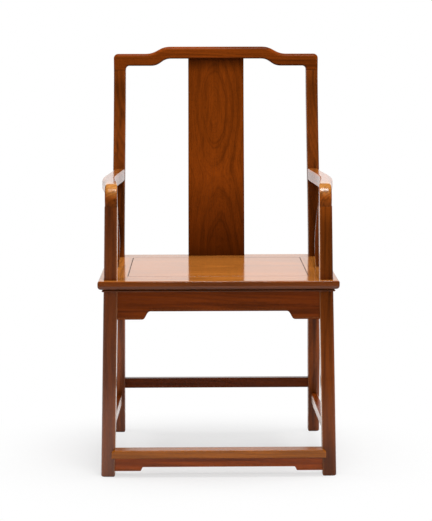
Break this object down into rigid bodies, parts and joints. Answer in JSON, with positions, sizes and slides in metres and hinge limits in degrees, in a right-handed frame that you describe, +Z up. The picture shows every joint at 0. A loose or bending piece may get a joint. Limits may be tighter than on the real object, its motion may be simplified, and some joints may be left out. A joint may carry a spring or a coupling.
{
  "type": "official hat chair",
  "caption": "Armchair in dark polished hardwood with a stepped crest rail, plain curved splat, bowed arms, panelled seat, arched aprons and a footrest.",
  "frame": {"origin": "on the floor, under the middle of the chair's overall width and depth", "axes": "+Z up, -Y towards the front of the chair, +X to the right of someone facing its front"},
  "size_m": [0.59, 0.4884, 1.058],
  "materials": {
    "post_wood": "polished, waxed hardwood",
    "back_post_wood": "polished, waxed hardwood",
    "crest_wood": "polished, waxed hardwood",
    "arm_wood": "polished, waxed hardwood",
    "support_wood": "polished, waxed hardwood",
    "splat_wood": "polished, waxed hardwood",
    "seat_frame_wood": "polished, waxed hardwood",
    "seat_panel_wood": "polished, waxed hardwood",
    "apron_wood": "polished, waxed hardwood",
    "footrest_wood": "polished, waxed hardwood",
    "stretcher_wood": "polished, waxed hardwood"
  },
  "bodies": {
    "root": {"crest_rail": "crest_wood", "back_splat": "splat_wood", "right_arm": "arm_wood", "left_arm": "arm_wood", "right_arm_support": "support_wood", "left_arm_support": "support_wood", "seat_front_rail": "seat_frame_wood", "seat_rear_rail": "seat_frame_wood", "seat_right_rail": "seat_frame_wood", "seat_left_rail": "seat_frame_wood", "seat_panel": "seat_panel_wood", "right_seat_batten": "stretcher_wood", "left_seat_batten": "stretcher_wood", "front_apron": "apron_wood", "back_apron": "apron_wood", "right_apron": "apron_wood", "left_apron": "apron_wood", "footrest": "footrest_wood", "footrest_apron": "apron_wood", "right_side_stretcher": "stretcher_wood", "left_side_stretcher": "stretcher_wood", "back_stretcher": "stretcher_wood", "front_right_post": "post_wood", "front_left_post": "post_wood", "back_right_post": "back_post_wood", "back_left_post": "back_post_wood"}
  },
  "joints": []
}
